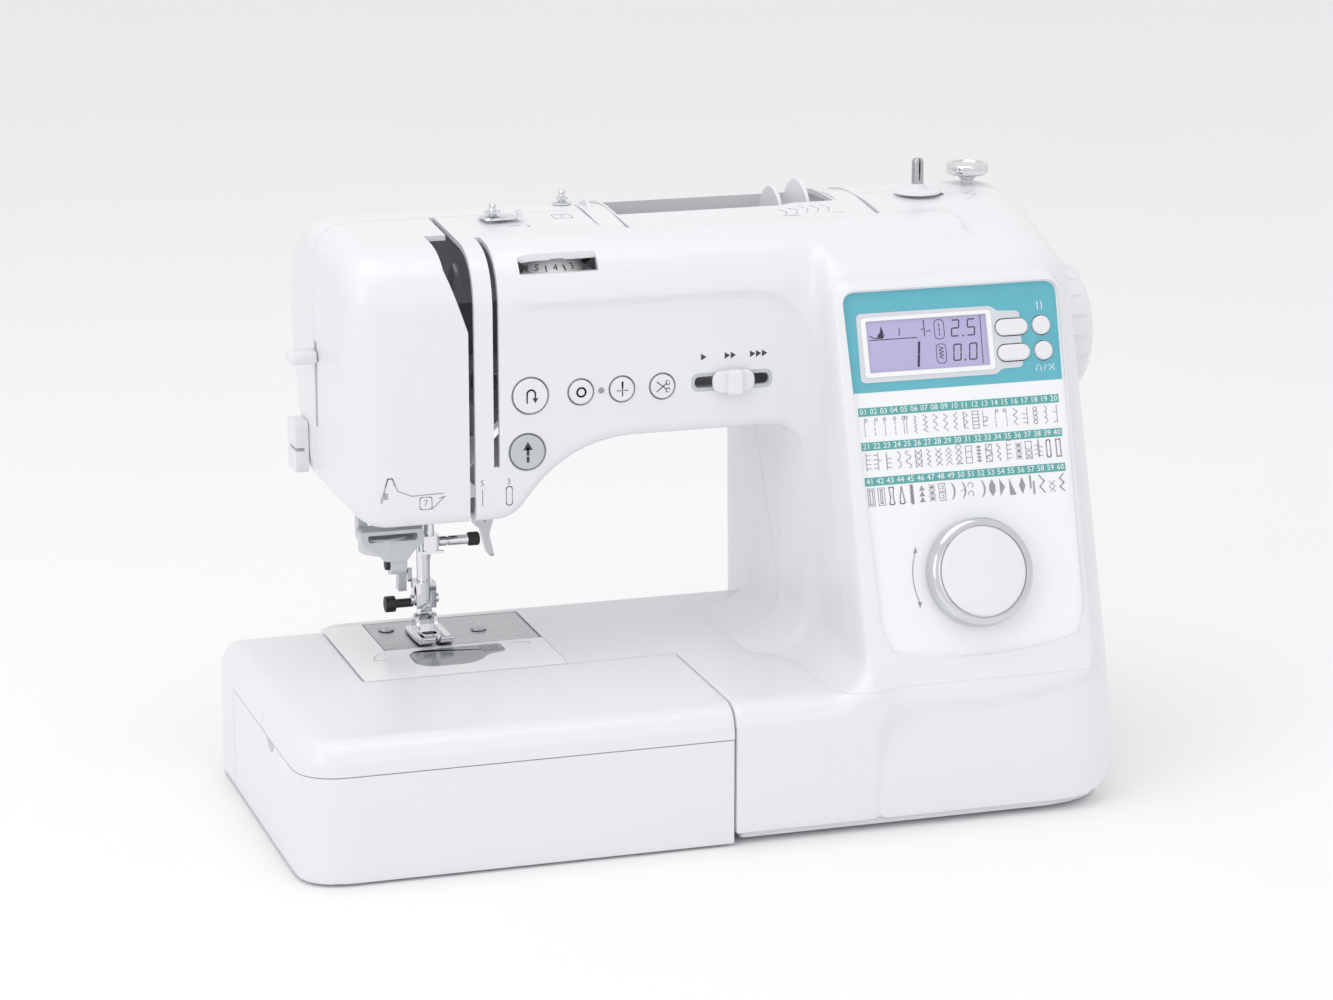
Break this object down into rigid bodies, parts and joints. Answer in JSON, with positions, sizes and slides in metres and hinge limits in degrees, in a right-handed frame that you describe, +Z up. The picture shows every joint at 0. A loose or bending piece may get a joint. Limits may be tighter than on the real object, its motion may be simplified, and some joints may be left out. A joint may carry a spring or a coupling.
{
  "type": "sewing machine",
  "caption": "Free-arm electronic sewing machine with a sloping control panel, stitch dial, handwheel, needle and presser foot, and a wide slide-off bed with an accessory compartment.",
  "frame": {"origin": "on the table, under the middle of the machine's bounding box", "axes": "+X towards the handwheel end, -Y towards the operator, +Z up"},
  "size_m": [0.48, 0.249, 0.324],
  "materials": {
    "white_casing": "smooth moulded gloss white",
    "cool_white_trim": "smooth moulded off-white",
    "light_grey_plastic": "satin light grey",
    "teal_panel": "printed faceplate with a teal field",
    "display_window": "liquid crystal display behind a clear window",
    "black_plastic": "satin black",
    "rubber": "matt",
    "chrome": "polished",
    "steel": "fine ground",
    "cast_metal": "as cast",
    "belt_rubber": "moulded",
    "clear_plastic": "clear smoke plastic"
  },
  "bodies": {
    "machine": {"front_casing": "white_casing", "rear_casing": "white_casing", "face_cover": "white_casing", "bed_casing": "white_casing", "base_tray": "cool_white_trim", "foot_left_front": "rubber", "foot_left_rear": "rubber", "foot_right_front": "rubber", "foot_right_rear": "rubber", "control_panel": "teal_panel", "display": "display_window", "machine_frame": "cast_metal", "motor": "cast_metal", "drive_belt": "belt_rubber", "power_inlet": "black_plastic", "needle_plate": "steel", "plate_surround": "cool_white_trim", "plate_screw_left": "steel", "plate_screw_right": "steel", "bobbin_case": "black_plastic", "pretension_guide": "chrome", "winder_stop": "chrome", "spool_pin": "cool_white_trim", "thread_cutter": "cool_white_trim"},
    "handwheel": {"handwheel": "white_casing", "main_shaft": "steel"},
    "needle_bar": {"needle_bar": "chrome", "needle": "steel"},
    "needle_clamp_screw": {"needle_clamp_screw": "chrome"},
    "take_up_lever": {"take_up_lever": "steel"},
    "hook": {"hook": "steel"},
    "bobbin": {"bobbin": "clear_plastic"},
    "bobbin_cover": {"bobbin_cover": "clear_plastic"},
    "feed_dog": {"feed_dog": "steel"},
    "drop_feed_lever": {"drop_feed_lever": "cool_white_trim"},
    "presser_bar": {"presser_bar": "chrome", "foot_holder": "chrome"},
    "holder_screw": {"holder_screw": "black_plastic"},
    "presser_foot": {"presser_foot": "chrome"},
    "presser_lifter": {"presser_lifter": "light_grey_plastic"},
    "needle_threader": {"needle_threader": "light_grey_plastic"},
    "buttonhole_lever": {"buttonhole_lever": "light_grey_plastic"},
    "speed_slider": {"speed_slider": "cool_white_trim"},
    "reverse_button": {"reverse_button": "cool_white_trim"},
    "start_button": {"start_button": "light_grey_plastic"},
    "stitch_tie_button": {"stitch_tie_button": "cool_white_trim"},
    "needle_position_button": {"needle_position_button": "cool_white_trim"},
    "thread_cut_button": {"thread_cut_button": "cool_white_trim"},
    "key_upper_left": {"key_upper_left": "cool_white_trim"},
    "key_lower_left": {"key_lower_left": "cool_white_trim"},
    "key_upper_right": {"key_upper_right": "cool_white_trim"},
    "key_lower_right": {"key_lower_right": "cool_white_trim"},
    "selection_dial": {"selection_dial": "chrome"},
    "tension_dial": {"tension_dial": "cool_white_trim"},
    "winder": {"winder_shaft": "light_grey_plastic"},
    "carrying_handle": {"carrying_handle": "white_casing"},
    "spool_cap": {"spool_cap": "cool_white_trim"},
    "power_switch": {"power_switch": "black_plastic"},
    "attachment": {"attachment": "white_casing"},
    "compartment_lid": {"compartment_lid": "white_casing"}
  },
  "joints": [
    {"name": "handwheel_turn", "type": "hinge", "parent": "machine", "child": "handwheel", "pos_m": [0.2, 0.036, 0.226], "axis": [1, 0, 0], "range_deg": [0, 180]},
    {"name": "needle_bar_stroke", "type": "slide", "parent": "machine", "child": "needle_bar", "axis": [0, 0, -1], "range_m": [0, 0.03201]},
    {"name": "take_up_swing", "type": "hinge", "parent": "machine", "child": "take_up_lever", "pos_m": [-0.1254, 0.05, 0.235], "axis": [1, 0, 0], "range_deg": [0, 35.01]},
    {"name": "hook_turn", "type": "hinge", "parent": "machine", "child": "hook", "pos_m": [-0.13, 0.021, 0.05], "axis": [0, 0, 1], "range_deg": [0, 360.1]},
    {"name": "bobbin_spin", "type": "hinge", "parent": "machine", "child": "bobbin", "pos_m": [-0.13, 0.021, 0.058], "axis": [0, 0, 1], "continuous": true},
    {"name": "bobbin_cover_lift", "type": "slide", "parent": "machine", "child": "bobbin_cover", "axis": [0, 0, 1], "range_m": [0, 0.04]},
    {"name": "drop_feed_slide", "type": "slide", "parent": "machine", "child": "drop_feed_lever", "axis": [1, 0, 0], "range_m": [0, 0.012]},
    {"name": "feed_dog_drop", "type": "slide", "parent": "machine", "child": "feed_dog", "axis": [0, 0, -1], "range_m": [0, 0.00301]},
    {"name": "presser_bar_lift", "type": "slide", "parent": "machine", "child": "presser_bar", "axis": [0, 0, 1], "range_m": [0, 0.006]},
    {"name": "presser_lifter_swing", "type": "hinge", "parent": "machine", "child": "presser_lifter", "pos_m": [-0.1, 0.07, 0.172], "axis": [0, -1, 0], "range_deg": [0, 35.01]},
    {"name": "presser_foot_tilt", "type": "hinge", "parent": "presser_bar", "child": "presser_foot", "pos_m": [-0.131, 0.054, 0.0842], "axis": [-1, 0, 0], "range_deg": [0, 3]},
    {"name": "holder_screw_turn", "type": "hinge", "parent": "presser_bar", "child": "holder_screw", "pos_m": [-0.145, 0.057, 0.092], "axis": [1, 0, 0], "range_deg": [0, 360]},
    {"name": "needle_clamp_screw_turn", "type": "hinge", "parent": "needle_bar", "child": "needle_clamp_screw", "pos_m": [-0.115, 0.044, 0.1285], "axis": [1, 0, 0], "range_deg": [0, 360]},
    {"name": "needle_threader_slide", "type": "slide", "parent": "machine", "child": "needle_threader", "axis": [0, 0, -1], "range_m": [0, 0.025], "stiffness_N_per_m": 60, "springref_m": -0.02},
    {"name": "buttonhole_lever_slide", "type": "slide", "parent": "machine", "child": "buttonhole_lever", "axis": [0, 0, -1], "range_m": [0, 0.009]},
    {"name": "speed_slider_slide", "type": "slide", "parent": "machine", "child": "speed_slider", "axis": [1, 0, 0], "range_m": [-0.01, 0.01]},
    {"name": "reverse_button_press", "type": "slide", "parent": "machine", "child": "reverse_button", "axis": [0, 1, 0], "range_m": [0, 0.001], "stiffness_N_per_m": 400, "springref_m": -0.0005},
    {"name": "start_button_press", "type": "slide", "parent": "machine", "child": "start_button", "axis": [0, 1, 0], "range_m": [0, 0.001], "stiffness_N_per_m": 400, "springref_m": -0.0005},
    {"name": "stitch_tie_button_press", "type": "slide", "parent": "machine", "child": "stitch_tie_button", "axis": [0, 1, 0], "range_m": [0, 0.001], "stiffness_N_per_m": 400, "springref_m": -0.0005},
    {"name": "needle_position_button_press", "type": "slide", "parent": "machine", "child": "needle_position_button", "axis": [0, 1, 0], "range_m": [0, 0.001], "stiffness_N_per_m": 400, "springref_m": -0.0005},
    {"name": "thread_cut_button_press", "type": "slide", "parent": "machine", "child": "thread_cut_button", "axis": [0, 1, 0], "range_m": [0, 0.001], "stiffness_N_per_m": 400, "springref_m": -0.0005},
    {"name": "key_upper_left_press", "type": "slide", "parent": "machine", "child": "key_upper_left", "axis": [0, 0.9511, -0.309], "range_m": [0, 0.001], "stiffness_N_per_m": 400, "springref_m": -0.0005},
    {"name": "key_lower_left_press", "type": "slide", "parent": "machine", "child": "key_lower_left", "axis": [0, 0.9511, -0.309], "range_m": [0, 0.001], "stiffness_N_per_m": 400, "springref_m": -0.0005},
    {"name": "key_upper_right_press", "type": "slide", "parent": "machine", "child": "key_upper_right", "axis": [0, 0.9511, -0.309], "range_m": [0, 0.001], "stiffness_N_per_m": 400, "springref_m": -0.0005},
    {"name": "key_lower_right_press", "type": "slide", "parent": "machine", "child": "key_lower_right", "axis": [0, 0.9511, -0.309], "range_m": [0, 0.001], "stiffness_N_per_m": 400, "springref_m": -0.0005},
    {"name": "selection_dial_turn", "type": "hinge", "parent": "machine", "child": "selection_dial", "pos_m": [0.1285, -0.09708, 0.12716], "axis": [0, -0.9511, 0.309], "continuous": true},
    {"name": "tension_dial_turn", "type": "hinge", "parent": "machine", "child": "tension_dial", "pos_m": [-0.077, 0.005, 0.2875], "axis": [0, 0, 1], "range_deg": [-120, 150]},
    {"name": "winder_shift", "type": "slide", "parent": "machine", "child": "winder", "axis": [1, 0, 0], "range_m": [0, 0.006]},
    {"name": "carrying_handle_swing", "type": "hinge", "parent": "machine", "child": "carrying_handle", "pos_m": [0.034, 0.011, 0.295], "axis": [1, 0, 0], "range_deg": [0, 80]},
    {"name": "spool_cap_slide", "type": "slide", "parent": "machine", "child": "spool_cap", "axis": [-1, 0, 0], "range_m": [0, 0.07]},
    {"name": "power_switch_rock", "type": "hinge", "parent": "machine", "child": "power_switch", "pos_m": [0.204, 0.084, 0.128], "axis": [0, -1, 0], "range_deg": [0, 12]},
    {"name": "attachment_slide", "type": "slide", "parent": "machine", "child": "attachment", "axis": [-1, 0, 0], "range_m": [0, 0.24]},
    {"name": "compartment_lid_swing", "type": "hinge", "parent": "attachment", "child": "compartment_lid", "pos_m": [-0.014, -0.1243, 0.03], "axis": [0, 0, 1], "range_deg": [0, 95]}
  ],
  "couplings": [
    {"joint": "needle_bar_stroke", "follows": "handwheel_turn", "m_per_rad": 0.010186},
    {"joint": "take_up_swing", "follows": "handwheel_turn", "ratio": 0.19444},
    {"joint": "hook_turn", "follows": "handwheel_turn", "ratio": 2},
    {"joint": "presser_lifter_swing", "follows": "presser_bar_lift", "rad_per_m": 101.81},
    {"joint": "feed_dog_drop", "follows": "drop_feed_slide", "ratio": 0.25}
  ]
}
